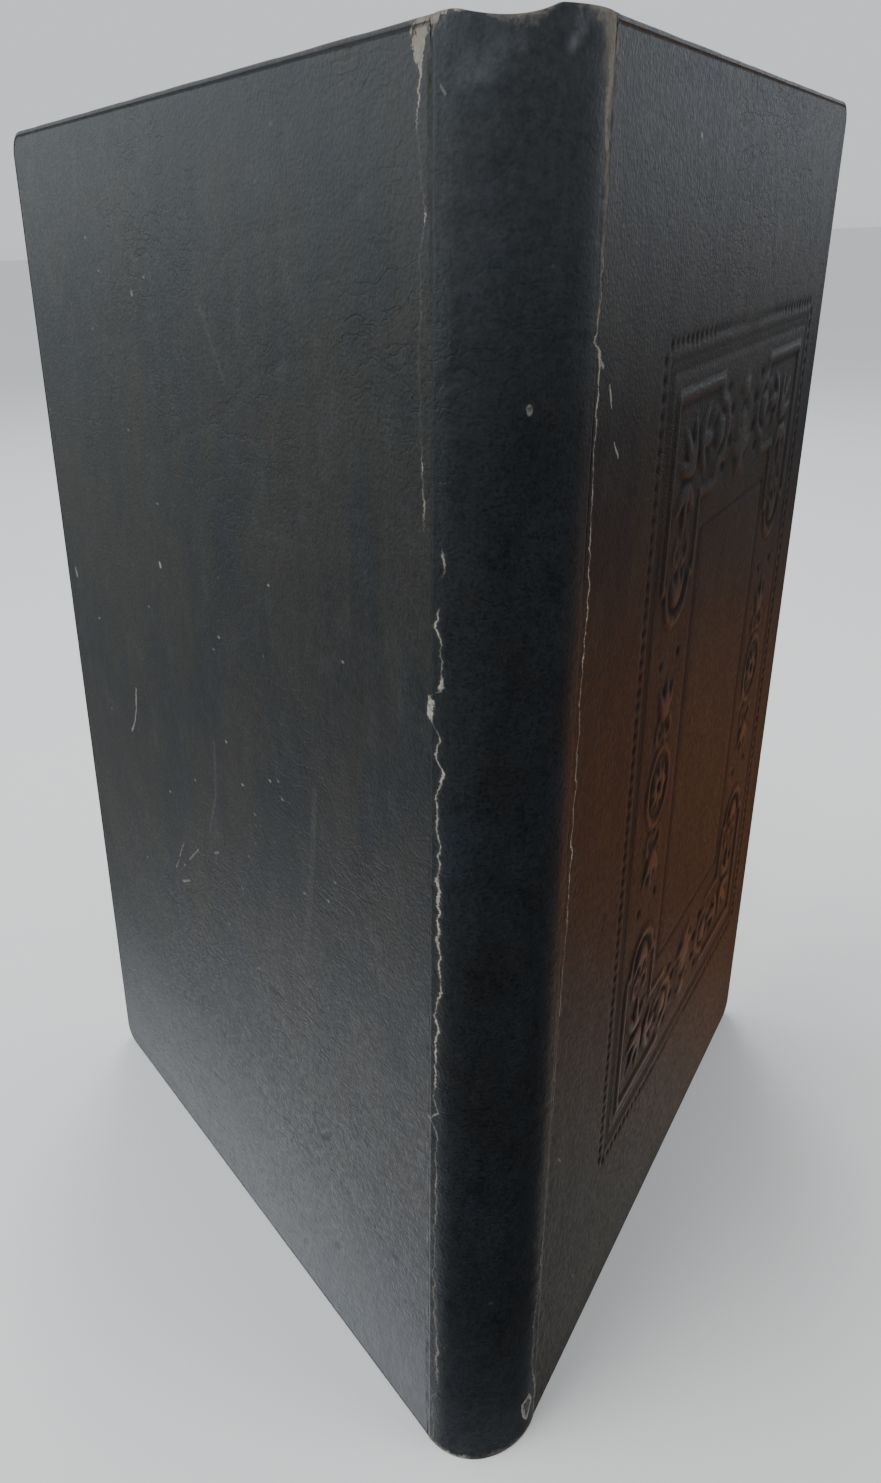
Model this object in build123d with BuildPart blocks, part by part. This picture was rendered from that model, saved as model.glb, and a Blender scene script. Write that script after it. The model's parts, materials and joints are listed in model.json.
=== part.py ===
from build123d import *
from math import acos, cos, degrees, radians, sin, sqrt
import os

# Antique folio volume in full leather, standing on its tail with both covers ajar.
# Millimetres. Origin on the floor, midway between the two joints of the spine,
# +Y from the spine to the fore edge, +X to the front cover, +Z from tail to head.

# Whole book
height = 340.0  # head to tail over the leather
cover_width = 214.0  # joint to fore edge over the leather
spine_width = 31.0  # straight across the spine, joint to joint
spine_round = 9.2  # how far the rounded spine stands out behind the joints
spine_lean = -2.0  # the round has slipped this far to the back cover side
front_rest_angle = 41.87  # the covers stand ajar, measured from closed
back_rest_angle = 21.92

# Covers
leather = 0.7  # thickness on the boards
board = 2.6  # pasteboard
pared = 0.35  # leather thinned for turning in
turn_in = 14.0  # width of leather turned over the three edges
pastedown = 0.25
square = 3.5  # how far the boards stand out beyond the leaves
corner_radius = 6.8  # worn round fore edge corners
edge_round = 1.1  # leather drawn round the outer edge of the board
edge_bevel = 0.5  # and flattened along the inner edge
hinge_gap = 0.4  # the board starts this far from the joint
paste = 0.05  # glue line around let-in pieces

# Spine
spine_leather = 0.9
cap_turn_in = 0.75  # leather turned in under the spine at head and tail
lining = 0.8
joint_edge = 0.35  # spine pieces stop this far behind the joint
cap_dip = 1.6  # worn hollow in the top edge of the spine
cap_dip_span = 17.0
cap_dip_place = -5.0  # centre of that hollow, measured across the spine

# Sewing
tape_count = 5
tape_width = 12.0
tape = 0.4
tape_margin = 46.0  # middle of the first and last tape to head and tail
slip_length = 30.0  # frayed end of a tape on the inside of the board

# Leaves
closing_gap = 0.35  # play between flyleaf and closed cover
flyleaf = 0.25
fore_square = 4.0  # boards beyond the leaves at the fore edge
fore_hollow = 4.6  # depth of the hollow fore edge
section_count = 12
section_notch = 0.35  # rounded step between two gatherings at the fore edge
headband_height = 2.2
headband_depth = 1.9
headband_bevel = 0.6

# Blind tooling of the front cover
tool_depth = 0.3  # lines, teeth and dots pressed into the leather
relief = 0.32  # ornament standing up from it
panel_joint_margin = 42.0
panel_fore_margin = 15.0
panel_head_margin = 53.0
panel_tail_margin = 53.0
tooth_pitch = 3.8
tooth_width = 2.6
tooth_length = 2.8
fine_line = 0.7
outer_line_inset = 6.0  # lines of the frame, from the edge of the panel
second_line_inset = 8.0
cartouche_inset = 13.5
cartouche_line = 1.9
upright_arm = 27.0  # width of the two arms of a corner cartouche
level_arm = 28.0
level_reach = 41.0  # from its corner to the middle of each round end
upright_reach = 47.5
level_end = 8.8  # radius of the round ends
upright_end = 10.3
mirror_inset_x = 44.0  # plain middle of the panel
mirror_inset_y = 50.0
rosette_x = 9.8
rosette_y = 12.0
rosette_ring = 1.5
petal_count = 8
pearl = 1.4  # radius
pearl_sides = 6
pearl_count = 4  # pearls round the end of a level arm
pearl_turn = 38.0  # between two of them
pearl_gap = 3.4  # and how far beyond that end they sit
pearl_drop = 67.0  # pair of pearls under the round end of an upright arm
pearl_offset = 7.3  # of that pair, from the middle of the arm

# Foliage of the tooling
long_blade = 16.2  # lengths of the leaves
blade = 13.0
middle_blade = 10.6
short_blade = 7.4
blade_width = 4.2
petal_width = 2.9
blade_taper = 0.25  # share that a leaf at right angles to its spray loses
blade_rise = (0.27, 0.46)  # outline of a leaf: share of its length, share of its width
blade_fall = (0.6, 0.42)
close_spread = 34.0  # angles between the leaves of a spray
open_spread = 50.0
wide_spread = 64.0
crossing = 0.72  # where the stems of the two arms cross, in shares of their widths
spray_gap = 2.6  # from that crossing to the sprays along the arms
end_gap = 5.0  # from the round ends to the buds that face them
palmette_foot = 9.8  # from the middle of the level arms to foot and bud of a palmette
palmette_bud = 5.4
stem = 1.3  # pairs of curled stems
curl = 3.7
curl_offset = 3.2
curl_sweep = 250.0
curl_steps = 5
curl_rise = 8.5  # from the middle of a round end to the curls beside it
rosette_gap = 4.6  # from rosette to the curls above and below it
rosette_rise = 7.4  # and to the spray that grows out of them

# Worked out from the sizes above
half_spine = spine_width / 2
cover_stack = leather + board + pared + pastedown
leaf_half = half_spine - cover_stack - closing_gap - flyleaf
block_height = height - 2 * square
fore_edge = cover_width - fore_square
panel_width = cover_width - panel_joint_margin - panel_fore_margin
panel_height = height - panel_head_margin - panel_tail_margin
panel_x = panel_joint_margin + panel_width / 2
panel_y = (panel_tail_margin - panel_head_margin) / 2
tape_step = (height - 2 * tape_margin) / (tape_count - 1)
tape_heights = [tape_margin + tape_step * i for i in range(tape_count)]
lining_depth = spine_leather + paste
block_depth = lining_depth + lining + paste


def spine_arc(side, depth):
    """Centre, radius and sweep of one half of the spine's round, this deep in it."""
    reach = half_spine - side * spine_lean
    radius = (reach**2 + spine_round**2) / (2 * spine_round)
    centre_y = radius - spine_round
    sweep = degrees(acos((centre_y + joint_edge) / (radius - depth)))
    return centre_y, radius - depth, sweep


def spine_ends(depth):
    """The two points where the round at this depth stops behind the joints."""
    ends = []
    for side in (-1, 1):
        centre_y, radius, sweep = spine_arc(side, depth)
        ends.append((spine_lean + side * radius * sin(radians(sweep)), -joint_edge))
    return ends


def spine_band(outer, inner):
    """Plan of one layer of the spine, between two depths below the leather's face."""
    with BuildSketch() as band:
        with BuildLine():
            for depth in (outer, inner):
                for side in (-1, 1):
                    centre_y, radius, sweep = spine_arc(side, depth)
                    start = 270 - sweep if side < 0 else 270
                    CenterArc((spine_lean, centre_y), radius, start, sweep)
            for outer_end, inner_end in zip(spine_ends(outer), spine_ends(inner)):
                Line(outer_end, inner_end)
        make_face()
    return band.sketch


def leaf(length, width):
    """One pointed leaf along X with its stem at the origin."""
    edge = [(length * along, width * across) for along, across in (blade_rise, blade_fall)]
    with BuildSketch() as blade_sketch:
        with BuildLine():
            Polyline((0, 0), *edge, (length, 0))
            mirror(about=Plane.XZ)
        make_face()
    return blade_sketch.sketch


def spray(x, y, heading, spread, count, length=blade):
    """Fan of leaves in the current sketch, the side ones a little shorter."""
    for i in range(count):
        turn = spread * (i - (count - 1) / 2)
        share = 1 - blade_taper * abs(turn) / 90
        with Locations(Location((x, y), heading + turn)):
            add(leaf(length * share, blade_width * share))


def curls(x, y, heading):
    """Pair of curled stems in the current sketch, in short straight runs."""
    core = curl - stem
    with Locations(Location((x, y), heading)):
        for side in (-1, 1):
            turns = [radians(side * curl_sweep * i / curl_steps) for i in range(curl_steps + 1)]
            centre = side * curl_offset
            outer = [(curl * cos(turn), centre + curl * sin(turn)) for turn in turns]
            inner = [(core * cos(turn), centre + core * sin(turn)) for turn in reversed(turns)]
            Polygon(*outer, *inner, align=None)


def finish(piece, name):
    """Name a finished piece and write it out."""
    piece.part.label = name
    export_step(piece.part, f"parts/{name}.step")


os.makedirs("parts", exist_ok=True)

# Leaves: one block, rounded at the back, with shoulders for the boards,
# hollow at the fore edge, where the gatherings end in shallow steps
back_left, back_right = spine_ends(block_depth)
with BuildPart() as text_block:
    with BuildSketch(Plane.XY.offset(square)):
        with BuildLine():
            for side in (-1, 1):
                centre_y, radius, sweep = spine_arc(side, block_depth)
                start = 270 - sweep if side < 0 else 270
                CenterArc((spine_lean, centre_y), radius, start, sweep)
            Polyline(back_left, (-leaf_half, -joint_edge), (-leaf_half, fore_edge))
            Polyline(back_right, (leaf_half, -joint_edge), (leaf_half, fore_edge))
            hollow = ThreePointArc(
                (-leaf_half, fore_edge),
                (spine_lean / 2, fore_edge - fore_hollow),
                (leaf_half, fore_edge),
            )
        make_face()
        with Locations([hollow @ (i / section_count) for i in range(1, section_count)]):
            Rectangle(section_notch, 2 * section_notch, rotation=45, mode=Mode.SUBTRACT)
    extrude(amount=block_height)
finish(text_block, "text_block")

# Linen tapes across the back of the gatherings
with BuildPart() as sewing_tapes:
    for level in tape_heights:
        with BuildSketch(Plane.XY.offset(level - tape_width / 2)):
            add(spine_band(block_depth - paste - tape, block_depth - paste))
        extrude(amount=tape_width)
finish(sewing_tapes, "sewing_tapes")

# Paper lining glued over the tapes, relieved where each tape passes under it
with BuildPart() as spine_lining:
    with BuildSketch(Plane.XY.offset(turn_in + paste)):
        add(spine_band(lining_depth, lining_depth + lining))
    extrude(amount=height - 2 * (turn_in + paste))
    for level in tape_heights:
        with BuildSketch(Plane.XY.offset(level - tape_width / 2 - paste)):
            add(spine_band(lining_depth + lining - tape - paste, lining_depth + lining))
        extrude(amount=tape_width + 2 * paste, mode=Mode.SUBTRACT)
finish(spine_lining, "spine_lining")

# Sewn headband and tailband, sitting on the ends of the leaves behind the caps
for name, base, direction in (
    ("headband", height - square, 1),
    ("tailband", square, -1),
):
    with BuildPart() as band:
        with BuildSketch(Plane.XY.offset(base)):
            add(spine_band(block_depth, block_depth + headband_depth))
        extrude(amount=direction * headband_height)
        crown = band.faces().sort_by(Axis.Z)[-1 if direction > 0 else 0]
        chamfer(crown.edges().filter_by(GeomType.CIRCLE), headband_bevel)
    finish(band, name)

# Leather of the spine, turned in at head and tail, its head worn hollow
with BuildPart() as spine_skin:
    with BuildSketch():
        add(spine_band(0, spine_leather))
    extrude(amount=height)
    for base in (0, height - turn_in):
        with BuildSketch(Plane.XY.offset(base)):
            add(spine_band(spine_leather, spine_leather + cap_turn_in))
        extrude(amount=turn_in)
    with BuildSketch(Plane.XZ):
        with BuildLine():
            ThreePointArc(
                (cap_dip_place - cap_dip_span / 2, height),
                (cap_dip_place, height - cap_dip),
                (cap_dip_place + cap_dip_span / 2, height),
            )
            Line(
                (cap_dip_place - cap_dip_span / 2, height),
                (cap_dip_place + cap_dip_span / 2, height),
            )
        make_face()
    extrude(amount=2 * spine_round, mode=Mode.SUBTRACT)
finish(spine_skin, "spine_leather")

# Free endpapers, lying on the leaves under either cover
for name, side in (("front_flyleaf", 1), ("back_flyleaf", -1)):
    with BuildPart() as sheet:
        with BuildSketch(Plane.XY.offset(square)):
            with Locations((side * (leaf_half + flyleaf / 2), fore_edge / 2)):
                Rectangle(flyleaf, fore_edge - 2 * joint_edge)
        extrude(amount=block_height)
    finish(sheet, name)

# Covers. Each is drawn on its own plane: X from joint to fore edge, Y along
# the height from the middle, Z out through the face of the leather.
front_turn = radians(front_rest_angle)
back_turn = radians(back_rest_angle)
front_plane = Plane(
    origin=(half_spine, 0, height / 2),
    x_dir=(sin(front_turn), cos(front_turn), 0),
    z_dir=(cos(front_turn), -sin(front_turn), 0),
)
back_plane = Plane(
    origin=(-half_spine, 0, height / 2),
    x_dir=(-sin(back_turn), cos(back_turn), 0),
    z_dir=(-cos(back_turn), -sin(back_turn), 0),
)


def cover_outline(margin, radius):
    """Cover set in from three edges, with round corners at the fore edge only."""
    length = cover_width - margin - hinge_gap
    with BuildSketch() as outline:
        with Locations((hinge_gap + length / 2, 0)):
            Rectangle(length, height - 2 * margin)
        outer = outline.vertices().group_by(Axis.X)[-1]
        if radius > 0:
            fillet(outer, radius)
    return outline.sketch


# Tooling, drawn about the middle of the panel: a quarter, then its mirror images
corner_x = panel_width / 2 - cartouche_inset
corner_y = panel_height / 2 - cartouche_inset
level_y = corner_y - level_arm / 2
upright_x = corner_x - upright_arm / 2
level_x = corner_x - level_reach
upright_y = corner_y - upright_reach
across = round(panel_width / tooth_pitch)
along = round(panel_height / tooth_pitch)
across_step = panel_width / across
along_step = panel_height / along


def cartouche(inset):
    """Corner cartouche, an L with round ends, drawn this far inside its border."""
    top = corner_y - inset
    outer = corner_x - inset
    inner = corner_x - upright_arm + inset
    foot = corner_y - level_arm + inset
    shoulder_x = level_x + inset
    shoulder_y = upright_y + inset
    level_round = level_end - inset
    upright_round = upright_end - inset
    half_level = sqrt(level_round**2 - inset**2)
    half_upright = sqrt(upright_round**2 - inset**2)
    with BuildSketch() as outline:
        with BuildLine():
            Polyline(
                (shoulder_x, level_y + half_level),
                (shoulder_x, top),
                (outer, top),
                (outer, shoulder_y),
                (upright_x + half_upright, shoulder_y),
            )
            ThreePointArc(
                (upright_x + half_upright, shoulder_y),
                (upright_x, upright_y - upright_round),
                (upright_x - half_upright, shoulder_y),
            )
            Polyline(
                (upright_x - half_upright, shoulder_y),
                (inner, shoulder_y),
                (inner, foot),
                (shoulder_x, foot),
                (shoulder_x, level_y - half_level),
            )
            ThreePointArc(
                (shoulder_x, level_y - half_level),
                (level_x - level_round, level_y),
                (shoulder_x, level_y + half_level),
            )
        make_face()
    return outline.sketch


# Foliage in one corner cartouche and the leaf sprays beside it
with BuildSketch() as corner_foliage:
    add(cartouche(0))
    add(cartouche(cartouche_line), mode=Mode.SUBTRACT)
    stem_x = corner_x - upright_arm * crossing
    stem_y = corner_y - level_arm * crossing
    spray(stem_x, stem_y, 45, close_spread, 3, long_blade)
    spray(stem_x - spray_gap, level_y, 180, open_spread, 3, blade)
    spray(level_x - level_end + end_gap, level_y, 0, close_spread, 3, short_blade)
    spray(upright_x, stem_y - spray_gap, -90, open_spread, 3, blade)
    spray(upright_x, upright_y - upright_end + end_gap, 90, close_spread, 3, middle_blade)
    curls(level_x + end_gap, level_y, 0)
    curls(upright_x, upright_y + curl_rise, 90)
    curls(upright_x, rosette_y + rosette_gap, 90)
    spray(upright_x, rosette_y + rosette_rise, 90, close_spread, 3, blade)

# Rosette at mid height and palmette at head and tail of the panel
with BuildSketch() as standing:
    add(corner_foliage.sketch)
    with Locations((upright_x, 0)):
        Ellipse(rosette_x, rosette_y)
        Ellipse(rosette_x - rosette_ring, rosette_y - rosette_ring, mode=Mode.SUBTRACT)
        with PolarLocations(pearl, petal_count):
            add(leaf(rosette_x - rosette_ring - 2 * pearl, petal_width))
    mirror(about=Plane.XZ)
    mirror(about=Plane.YZ)
    for end in (-1, 1):
        foot = end * (level_y - palmette_foot)
        spray(0, foot, 90 * end, close_spread, 5)
        spray(0, foot, -90 * end, wide_spread, 2, short_blade)
        spray(0, end * (level_y + palmette_bud), 90 * end, close_spread, 3, short_blade)
        curls(0, end * (level_y + palmette_bud - curl_offset), 90 * end)
        with Locations((0, foot)):
            RegularPolygon(pearl, pearl_sides)

# Teeth, lines and pearls pressed in
tooth = ((-tooth_width / 2, 0), (tooth_width / 2, 0), (0, tooth_length))
with BuildSketch() as pressed:
    for inset in (outer_line_inset, second_line_inset):
        Rectangle(panel_width - 2 * inset, panel_height - 2 * inset)
        inside = inset + fine_line
        Rectangle(panel_width - 2 * inside, panel_height - 2 * inside, mode=Mode.SUBTRACT)
    mirror_width = panel_width - 2 * mirror_inset_x
    mirror_height = panel_height - 2 * mirror_inset_y
    Rectangle(mirror_width, mirror_height)
    Rectangle(mirror_width - 2 * fine_line, mirror_height - 2 * fine_line, mode=Mode.SUBTRACT)
    for end in (-1, 1):
        with Locations((0, end * (panel_height - tooth_length) / 2)):
            with GridLocations(across_step, 1, across - 2, 1):
                Polygon(*tooth, rotation=90 + 90 * end)
        with Locations((end * (panel_width - tooth_length) / 2, 0)):
            with GridLocations(1, along_step, 1, along - 2):
                Polygon(*tooth, rotation=90 * end)
        for flip in (-1, 1):
            for i in range(pearl_count):
                turn = radians(pearl_turn * (i - (pearl_count - 1) / 2))
                reach = level_end + pearl_gap
                dot_x = level_x - reach * cos(turn)
                dot_y = level_y + reach * sin(turn)
                with Locations((flip * dot_x, end * dot_y)):
                    RegularPolygon(pearl, pearl_sides)
            for dot_x in (upright_x - pearl_offset, upright_x + pearl_offset):
                with Locations((flip * dot_x, end * (corner_y - pearl_drop))):
                    RegularPolygon(pearl, pearl_sides)

board_radius = max(corner_radius - leather, 0)
board_face = -leather
inner_face = board_face - board
turned_face = inner_face - pared

for side, plane in (("front", front_plane), ("back", back_plane)):
    # Pasteboard, with shallow beds for the slips of the tapes
    with BuildPart() as pasteboard:
        with BuildSketch(plane.offset(inner_face)):
            add(cover_outline(leather + paste, board_radius))
        extrude(amount=board)
        with BuildSketch(plane.offset(inner_face)):
            for level in tape_heights:
                with Locations((hinge_gap + slip_length / 2, level - height / 2)):
                    Rectangle(slip_length + 2 * paste, tape_width + 2 * paste)
        extrude(amount=tape + paste, mode=Mode.SUBTRACT)
    finish(pasteboard, f"{side}_board")

    # Slips of the tapes, let into the board
    with BuildPart() as slips:
        with BuildSketch(plane.offset(inner_face)):
            for level in tape_heights:
                with Locations((hinge_gap + slip_length / 2, level - height / 2)):
                    Rectangle(slip_length, tape_width)
        extrude(amount=tape)
    finish(slips, f"{side}_tape_slips")

    # Endpaper pasted to the inside, stepping up over the turned-in leather
    with BuildPart() as paper:
        with BuildSketch(plane.offset(turned_face - pastedown)):
            add(cover_outline(square, 0))
            add(cover_outline(turn_in + paste + pastedown, 0), mode=Mode.SUBTRACT)
        extrude(amount=pastedown)
        with BuildSketch(plane.offset(inner_face - pastedown)):
            add(cover_outline(turn_in + paste, 0))
        extrude(amount=pastedown)
        with BuildSketch(plane.offset(turned_face - pastedown)):
            add(cover_outline(turn_in + paste, 0))
            add(cover_outline(turn_in + paste + pastedown, 0), mode=Mode.SUBTRACT)
        extrude(amount=pared + pastedown)
    finish(paper, f"{side}_pastedown")

    # Leather of the cover, drawn round three edges and turned in
    with BuildPart() as skin:
        with BuildSketch(plane.offset(turned_face)):
            add(cover_outline(0, corner_radius))
        extrude(amount=-turned_face)
        outward = Axis(plane.origin, plane.z_dir)
        to_fore_edge = Axis(plane.origin, plane.x_dir)
        outer_rim = skin.faces().sort_by(outward)[-1].edges().sort_by(to_fore_edge)
        fillet(outer_rim[1:], edge_round)
        inner_rim = skin.faces().sort_by(outward)[0].edges().sort_by(to_fore_edge)
        chamfer(inner_rim[1:], edge_bevel)
        with BuildSketch(plane.offset(inner_face)):
            add(cover_outline(leather, board_radius))
        extrude(amount=board, mode=Mode.SUBTRACT)
        with BuildSketch(plane.offset(turned_face)):
            add(cover_outline(turn_in, 0))
        extrude(amount=pared, mode=Mode.SUBTRACT)
        if side == "front":
            panel_plane = Plane(
                origin=plane.from_local_coords((panel_x, panel_y, 0)),
                x_dir=plane.x_dir,
                z_dir=plane.z_dir,
            )
            with BuildSketch(panel_plane):
                add(pressed.sketch)
            extrude(amount=-tool_depth, mode=Mode.SUBTRACT)
            with BuildSketch(panel_plane):
                add(standing.sketch)
            extrude(amount=relief)
    finish(skin, f"{side}_leather")
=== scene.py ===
import json
import math

import bpy
import numpy as np
from mathutils import Matrix, Vector
from mathutils.bvhtree import BVHTree


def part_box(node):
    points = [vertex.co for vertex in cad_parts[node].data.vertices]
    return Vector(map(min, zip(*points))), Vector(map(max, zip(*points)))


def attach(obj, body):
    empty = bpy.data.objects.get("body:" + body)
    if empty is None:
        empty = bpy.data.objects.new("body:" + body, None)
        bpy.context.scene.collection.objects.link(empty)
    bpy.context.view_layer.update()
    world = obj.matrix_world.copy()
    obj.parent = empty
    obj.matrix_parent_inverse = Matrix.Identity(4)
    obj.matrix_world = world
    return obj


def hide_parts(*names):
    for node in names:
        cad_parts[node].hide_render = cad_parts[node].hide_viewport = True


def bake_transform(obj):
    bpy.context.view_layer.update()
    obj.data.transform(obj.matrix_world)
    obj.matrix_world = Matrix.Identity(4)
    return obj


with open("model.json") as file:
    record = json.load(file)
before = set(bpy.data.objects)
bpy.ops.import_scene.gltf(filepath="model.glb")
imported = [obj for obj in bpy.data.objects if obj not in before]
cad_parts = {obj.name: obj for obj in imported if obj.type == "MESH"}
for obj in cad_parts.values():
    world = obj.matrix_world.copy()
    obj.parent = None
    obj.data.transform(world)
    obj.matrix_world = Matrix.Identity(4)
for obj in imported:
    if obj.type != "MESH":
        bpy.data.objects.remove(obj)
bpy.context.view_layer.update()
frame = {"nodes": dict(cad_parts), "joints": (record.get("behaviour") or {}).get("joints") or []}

# Sizes of the book, in metres, as the solids have them
MM = 0.001
HEIGHT = 340 * MM
SPINE_LEATHER = 0.9 * MM
CAP_TURN_IN = 0.75 * MM
SPINE_ROUND = 9.2 * MM
SPINE_LEAN = -2.0 * MM
HALF_SPINE = 15.5 * MM
JOINT_EDGE = 0.35 * MM
HINGE_GAP = 0.4 * MM
COVER_THICK = 3.65 * MM
PARED = 0.35 * MM
PASTEDOWN = 0.25 * MM
TURN_IN = 14 * MM
CORNER_RADIUS = 6.8 * MM
EDGE_ROUND = 1.1 * MM
EDGE_BEVEL = 0.5 * MM
SQUARE = 3.5 * MM
CAP_DIP = 1.6 * MM
CAP_DIP_HALF = 8.5 * MM
CAP_DIP_PLACE = -5.0 * MM
BLOCK_DEPTH = 1.8 * MM
HEADBAND_DEPTH = 1.9 * MM
HEADBAND_HEIGHT = 2.2 * MM
PANEL_U = (42 * MM, 199 * MM)
PANEL_V = (-117 * MM, 117 * MM)
CARTOUCHE = 42 * MM
TOOLING_GAIN = 1.35
FACE_SINK = 0.12 * MM
CRACK_DEPTH = 0.1 * MM
EDGE_STEP = 0.8 * MM


# Numbers and meshes

def lattice(a, b, cell_a, cell_b, seed):
    """Smooth noise from -1 to 1 over two coordinates, with its own cell size along each."""
    table = np.random.RandomState(seed).uniform(-1, 1, (64, 64))
    x = np.asarray(a, float) / cell_a + 17.3
    y = np.asarray(b, float) / cell_b + 9.1
    i, j = np.floor(x).astype(int), np.floor(y).astype(int)
    fx, fy = x - i, y - j
    fx, fy = fx * fx * (3 - 2 * fx), fy * fy * (3 - 2 * fy)
    low = table[i % 64, j % 64] * (1 - fx) + table[(i + 1) % 64, j % 64] * fx
    high = table[i % 64, (j + 1) % 64] * (1 - fx) + table[(i + 1) % 64, (j + 1) % 64] * fx
    return low * (1 - fy) + high * fy


def smooth(value, low, high):
    """0 below low, 1 above high, and an even turn between."""
    t = np.clip((np.asarray(value, float) - low) / (high - low), 0, 1)
    return t * t * (3 - 2 * t)


def blurred(grid, middle, times):
    """A grid of values, each drawn towards its neighbours."""
    for _ in range(times):
        for axis in (0, 1):
            around = np.roll(grid, 1, axis) + middle * grid + np.roll(grid, -1, axis)
            grid = around / (middle + 2)
    return grid


def steps(*bands):
    """Rising positions along a line: each band is its end and the step up to it."""
    values = [bands[0][0]]
    for end, step in bands[1:]:
        count = max(1, round((end - values[-1]) / step))
        values.extend(np.linspace(values[-1], end, count + 1)[1:])
    return np.array(values)


def numbered(rows, columns, start=0):
    """Point numbers of a grid whose points run along the columns first."""
    return start + np.arange(rows * columns).reshape(rows, columns)


def quads(index, flip=False):
    """Faces between the neighbours in a grid of point numbers."""
    corners = (index[:-1, :-1], index[:-1, 1:], index[1:, 1:], index[1:, :-1])
    faces = np.stack(corners, -1).reshape(-1, 4)
    return (faces[:, ::-1] if flip else faces).tolist()


def tube(rows, columns, flip=False):
    """Faces of a tube: the rows run round it, and both of its ends are closed."""
    index = numbered(rows, columns)
    walls = quads(np.vstack([index, index[:1]]), flip)
    return walls + [index[:, 0].tolist(), index[::-1, -1].tolist()]


def build(name, points, faces, material, surface=None, fields=None):
    """A mesh object from points and faces, with surface coordinates and named values."""
    mesh = bpy.data.meshes.new(name)
    mesh.from_pydata(np.vstack(points).tolist(), [], faces)
    mesh.validate()
    if surface is not None:
        loops = np.zeros(len(mesh.loops), int)
        mesh.loops.foreach_get("vertex_index", loops)
        layer = mesh.uv_layers.new(name="surface")
        layer.data.foreach_set("uv", np.vstack(surface).astype(np.float32)[loops].ravel())
    for key, values in (fields or {}).items():
        data = mesh.attributes.new(key, "FLOAT", "POINT").data
        data.foreach_set("value", np.asarray(values, np.float32))
    mesh.shade_smooth()
    mesh.materials.append(material)
    piece = bpy.data.objects.new(name, mesh)
    bpy.context.scene.collection.objects.link(piece)
    return piece


class Cover:
    """Axes of one cover at rest: u from joint to fore edge, v up from the middle, w out."""

    def __init__(self, side):
        self.side = side
        self.name = "front" if side > 0 else "back"
        joint = next(j for j in frame["joints"] if j["name"] == f"{self.name}_cover_hinge")
        turn = math.radians(-joint["range_deg"][0])
        self.hinge = np.array(joint["pos_m"]) + np.array((0, 0, HEIGHT / 2))
        self.u = np.array((side * math.sin(turn), math.cos(turn), 0))
        self.w = np.array((side * math.cos(turn), -math.sin(turn), 0))
        self.v = np.array((0.0, 0.0, 1.0))
        solid = frame["nodes"][f"{self.name}_leather"].data
        self.width = float(self.local([vertex.co for vertex in solid.vertices])[:, 0].max())

    def local(self, points):
        offset = np.asarray(points) - self.hinge
        return np.stack([offset @ self.u, offset @ self.v, offset @ self.w], axis=-1)

    def place(self, u, v, w):
        u, v, w = (np.asarray(x, float)[..., None] for x in np.broadcast_arrays(u, v, w))
        return self.hinge + u * self.u + v * self.v + w * self.w


front = Cover(1)
back = Cover(-1)


def spine_arcs(depth):
    """Centre height, radius and sweep of the left and right half of the round."""
    halves = []
    for side in (-1, 1):
        reach = HALF_SPINE - side * SPINE_LEAN
        radius = (reach**2 + SPINE_ROUND**2) / (2 * SPINE_ROUND)
        centre = radius - SPINE_ROUND
        halves.append((centre, radius - depth, np.arccos((centre + JOINT_EDGE) / (radius - depth))))
    return halves


LEFT_ARC, RIGHT_ARC = (radius * sweep for _, radius, sweep in spine_arcs(0))
SPINE_LENGTH = LEFT_ARC + RIGHT_ARC


def spine_point(share, depth):
    """Plan points of the round at shares 0 to 1 from the left to the right joint."""
    (left_y, left_r, left_a), (right_y, right_r, right_a) = spine_arcs(depth)
    share = np.asarray(share, float)
    split = LEFT_ARC / SPINE_LENGTH
    on_left = share < split
    left_turn = -left_a * (1 - share / split)
    angle = np.where(on_left, left_turn, right_a * (share - split) / (1 - split))
    radius = np.where(on_left, left_r, right_r)
    x = SPINE_LEAN + radius * np.sin(angle)
    y = np.where(on_left, left_y, right_y) - radius * np.cos(angle)
    return x, y, angle


# Shader helpers

def reckon(operation):
    """A method of a signal that adds a math node."""
    return lambda signal, other=0.0: signal.nodes.math(operation, signal, other)


class Signal:
    """An output in a node tree, whose numbers can be reckoned with like any others."""

    __add__ = reckon("ADD")
    __sub__ = reckon("SUBTRACT")
    __mul__ = reckon("MULTIPLY")
    __abs__ = reckon("ABSOLUTE")
    most = reckon("MAXIMUM")
    least = reckon("MINIMUM")

    def __init__(self, nodes, socket):
        self.nodes = nodes
        self.socket = socket

    def __rsub__(self, other):
        return self.nodes.math("SUBTRACT", other, self)

    def wave(self, length):
        """A sine wave along the value, with one turn to each length in mm."""
        return self.nodes.math("SINE", self * (2 * math.pi / (length * MM)))

    def band(self, low, high, start=0, end=1):
        """An even turn from start to end as the value goes from low to high."""
        inputs = dict(enumerate((self, low, high, start, end)))
        return self.nodes.out("MapRange", "Result", inputs, interpolation_type="SMOOTHSTEP")


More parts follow.
